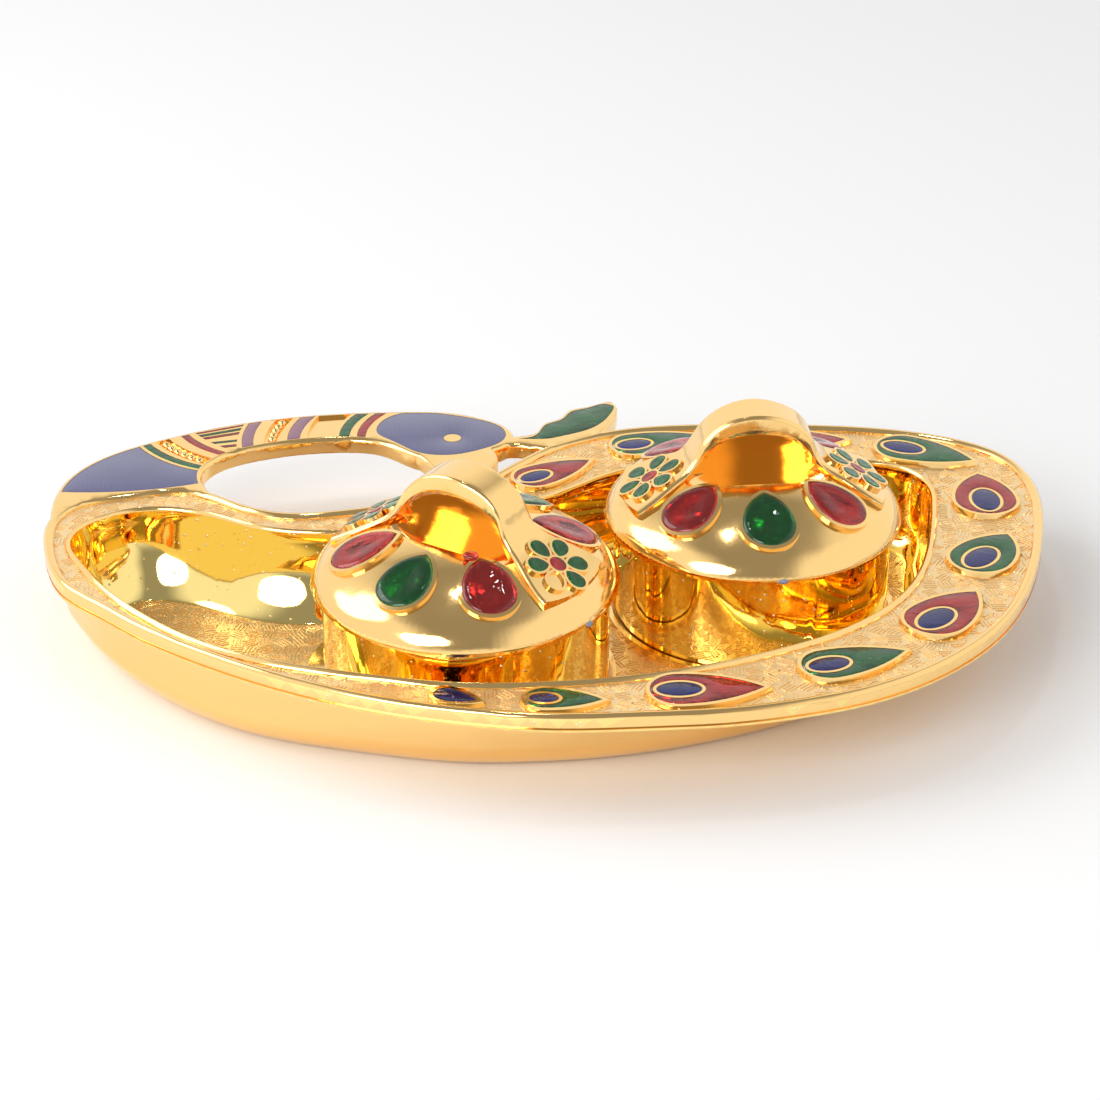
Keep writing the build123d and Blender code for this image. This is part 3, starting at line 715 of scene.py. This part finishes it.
class KUMKUM_OT_marks(bpy.types.Operator):
    """Adds the marks of making: spilt enamel beside a drop and the cut gates on the lids' edges"""

    bl_idname = "kumkum.marks"
    bl_label = "Marks of making"

    def execute(self, context):
        for name, body, slot, finish, middle, half_sizes in MARKS:
            deselect()
            bpy.ops.mesh.primitive_ico_sphere_add(subdivisions=3, radius=MM)
            mark = context.active_object
            mark.name = name
            bpy.ops.object.mode_set(mode="EDIT")
            bpy.ops.mesh.select_all(action="SELECT")
            bpy.ops.transform.resize(value=half_sizes)
            bpy.ops.transform.vertex_random(offset=MARK_UNEVENNESS, uniform=0.2, normal=0.8, seed=MARK_SEED)
            bpy.ops.mesh.vertices_smooth(factor=0.5)
            bpy.ops.transform.translate(value=Vector(middle) * MM)
            bpy.ops.object.mode_set(mode="OBJECT")
            smooth(mark, BEAD_ANGLE)
            mark.data.materials.append(finish_named(finish))
            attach(mark, body)
        return {"FINISHED"}


# Light goes to and fro between the gold walls many times before it leaves the recess
LIGHT_BOUNCES = 9
FLOOR_SIZE = 4.0
# Camera found from the photo: metres, and millimetres for the lens and the sensor
CAMERA_PLACE = (0.0003, -0.4016, 0.2257)
CAMERA_AIM = (0.0003, -0.0076, 0.0178)
CAMERA_LENS = 98.2
CAMERA_SENSOR = 36.0
CAMERA_CLIP = 0.01
# Lamps: name, place, aim and size in metres, power in watts
LAMPS = (
    ("key_softbox", (-0.24, -0.40, 0.27), (-0.02, 0, 0.01), (0.3, 0.26), 1.2),
    ("left_softbox", (-0.55, 0.12, 0.45), (0, 0, 0), (0.5, 0.5), 1.7),
    ("top_spot", (-0.05, 0.12, 0.6), (0, 0, 0.02), (0.035, 0.035), 0.14),
)
# The room is white to the sides, behind and near the horizon, and dimmer in front and overhead
ROOM_SIDES = {"From Min": 0.28, "From Max": 0.6}
ROOM_BEHIND = {"From Min": 0.5, "From Max": 0.85}
ROOM_LEVEL = {"From Min": 0.05, "From Max": 0.3, "To Min": 1.0, "To Max": 0.0}
ROOM_STRENGTH = {"To Min": 0.34, "To Max": 1.04}


def turn_to(place, aim):
    """The turn that points a lamp or a camera at its aim."""
    return (Vector(aim) - Vector(place)).to_track_quat("-Z", "Y").to_euler()


def add_lamp(name, place, aim, size, power):
    deselect()
    bpy.ops.object.light_add(type="AREA", location=place)
    lamp = bpy.context.active_object
    lamp.name = name
    lamp.data.shape = "ELLIPSE"
    lamp.data.size, lamp.data.size_y = size
    lamp.data.energy = power
    lamp.rotation_euler = turn_to(place, aim)


def white_room():
    """A world whose brightness depends on the direction alone."""
    world = bpy.data.worlds.new("white_room")
    world.use_nodes = True
    tree = world.node_tree
    tree.nodes.clear()
    way = node(tree, "SeparateXYZ", links={0: node(tree, "TexCoord").outputs["Generated"]})
    aside = node(tree, "Math", links={0: way.outputs["X"]}, operation="ABSOLUTE")
    sides = node(tree, "MapRange", ROOM_SIDES, {"Value": aside.outputs["Value"]},
                 interpolation_type="SMOOTHSTEP")
    behind = node(tree, "MapRange", ROOM_BEHIND, {"Value": way.outputs["Y"]},
                  interpolation_type="SMOOTHSTEP")
    level = node(tree, "MapRange", ROOM_LEVEL, {"Value": way.outputs["Z"]},
                 interpolation_type="SMOOTHSTEP")
    walls = node(tree, "Math", links={0: sides.outputs["Result"], 1: behind.outputs["Result"]},
                 operation="MAXIMUM")
    bright = node(tree, "Math", links={0: walls.outputs["Value"], 1: level.outputs["Result"]},
                  operation="MAXIMUM")
    light = node(tree, "MapRange", ROOM_STRENGTH, {"Value": bright.outputs["Value"]})
    room = node(tree, "Background", {"Color": (1.0, 1.0, 1.0, 1.0)}, {"Strength": light.outputs["Result"]})
    node(tree, "OutputWorld", links={"Surface": room.outputs["Background"]})
    return world


class KUMKUM_OT_stage(bpy.types.Operator):
    """Lays the pale floor, hangs the soft lights and sets the camera"""

    bl_idname = "kumkum.stage"
    bl_label = "Stage"

    def execute(self, context):
        scene = context.scene
        scene.view_settings.view_transform = "Standard"
        scene.cycles.max_bounces = LIGHT_BOUNCES
        scene.cycles.glossy_bounces = LIGHT_BOUNCES
        scene.cycles.transmission_bounces = LIGHT_BOUNCES
        deselect()
        bpy.ops.mesh.primitive_plane_add(size=FLOOR_SIZE)
        floor = context.active_object
        floor.name = "floor"
        floor.data.materials.append(finish_named("white_paper_sweep"))
        scene.world = white_room()
        for lamp in LAMPS:
            add_lamp(*lamp)
        deselect()
        bpy.ops.object.camera_add(location=CAMERA_PLACE)
        camera = context.active_object
        camera.rotation_euler = turn_to(CAMERA_PLACE, CAMERA_AIM)
        camera.data.lens = CAMERA_LENS
        camera.data.sensor_width = CAMERA_SENSOR
        camera.data.clip_start = CAMERA_CLIP
        scene.camera = camera
        return {"FINISHED"}


class KUMKUM_PT_panel(bpy.types.Panel):
    """Lists the steps and the settings"""

    bl_label = "Kumkum box"
    bl_idname = "KUMKUM_PT_panel"
    bl_space_type = "VIEW_3D"
    bl_region_type = "UI"
    bl_category = "Kumkum box"

    def draw(self, context):
        for step in STEPS:
            self.layout.operator(step.bl_idname)
        for group in settings():
            for name in group.__annotations__:
                self.layout.prop(group, name)


STEPS = (
    KUMKUM_OT_tray,
    KUMKUM_OT_hatch,
    KUMKUM_OT_cups,
    KUMKUM_OT_lids,
    KUMKUM_OT_enamel,
    KUMKUM_OT_marks,
    KUMKUM_OT_stage,
)
CLASSES = (KumkumColours, KumkumSizes) + STEPS + (KUMKUM_PT_panel,)


def register():
    for each in CLASSES:
        bpy.utils.register_class(each)
    bpy.types.Scene.kumkum_colours = PointerProperty(type=KumkumColours)
    bpy.types.Scene.kumkum_sizes = PointerProperty(type=KumkumSizes)


def unregister():
    del bpy.types.Scene.kumkum_sizes
    del bpy.types.Scene.kumkum_colours
    for each in reversed(CLASSES):
        bpy.utils.unregister_class(each)


def main():
    register()
    bpy.ops.kumkum.tray()
    bpy.ops.kumkum.hatch()
    bpy.ops.kumkum.cups()
    bpy.ops.kumkum.lids()
    bpy.ops.kumkum.enamel()
    bpy.ops.kumkum.marks()
    bpy.ops.kumkum.stage()


if __name__ == "__main__":
    main()
